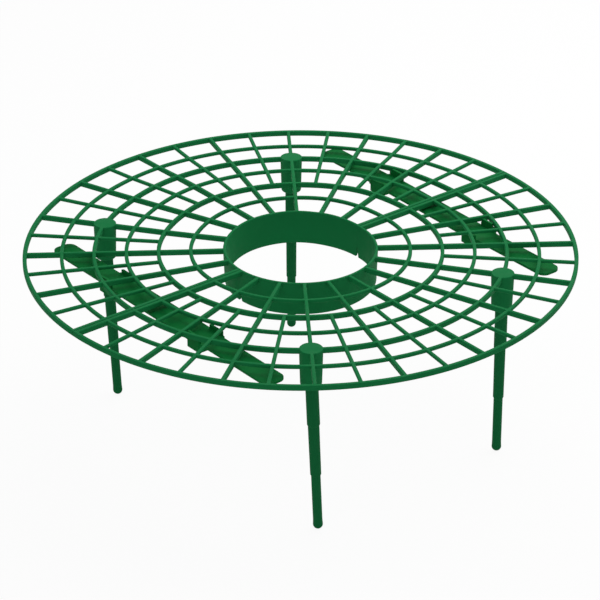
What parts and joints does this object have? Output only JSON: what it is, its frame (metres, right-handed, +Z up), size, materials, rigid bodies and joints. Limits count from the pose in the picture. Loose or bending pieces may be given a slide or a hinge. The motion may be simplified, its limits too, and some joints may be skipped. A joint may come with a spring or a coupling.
{
  "type": "strawberry plant support",
  "caption": "Round ribbed grid with a centre collar for a plant, split across the middle and held by clip-on bars, standing on push-in stepped stakes.",
  "frame": {"origin": "on the ground under the centre of the grid, level with the stakes' tips", "axes": "+Z up, along the collar's axis; X along the split between the halves, with the rear half on the +Y side"},
  "size_m": [0.3, 0.3, 0.11],
  "materials": {
    "half_frame_plastic": "satin moulded green polypropylene",
    "connector_bar_plastic": "satin moulded green polypropylene",
    "leg_plastic": "satin moulded green polypropylene"
  },
  "bodies": {
    "front_half": {"front_half_frame": "half_frame_plastic"},
    "rear_half": {"rear_half_frame": "half_frame_plastic"},
    "left_bar": {"left_connector_bar": "connector_bar_plastic"},
    "right_bar": {"right_connector_bar": "connector_bar_plastic"},
    "rear_left_stake": {"rear_left_leg": "leg_plastic"},
    "rear_right_stake": {"rear_right_leg": "leg_plastic"},
    "front_left_stake": {"front_left_leg": "leg_plastic"},
    "front_right_stake": {"front_right_leg": "leg_plastic"}
  },
  "joints": [
    {"name": "rear_half_lift", "type": "slide", "parent": "front_half", "child": "rear_half", "axis": [0, 0, 1], "range_m": [0, 0.025]},
    {"name": "left_bar_unclip", "type": "slide", "parent": "front_half", "child": "left_bar", "axis": [0, 0, -1], "range_m": [0, 0.012]},
    {"name": "right_bar_unclip", "type": "slide", "parent": "front_half", "child": "right_bar", "axis": [0, 0, -1], "range_m": [0, 0.012]},
    {"name": "rear_left_leg_pull", "type": "slide", "parent": "rear_half", "child": "rear_left_stake", "axis": [0, 0, -1], "range_m": [0, 0.02]},
    {"name": "rear_right_leg_pull", "type": "slide", "parent": "rear_half", "child": "rear_right_stake", "axis": [0, 0, -1], "range_m": [0, 0.02]},
    {"name": "front_left_leg_pull", "type": "slide", "parent": "front_half", "child": "front_left_stake", "axis": [0, 0, -1], "range_m": [0, 0.02]},
    {"name": "front_right_leg_pull", "type": "slide", "parent": "front_half", "child": "front_right_stake", "axis": [0, 0, -1], "range_m": [0, 0.02]}
  ]
}
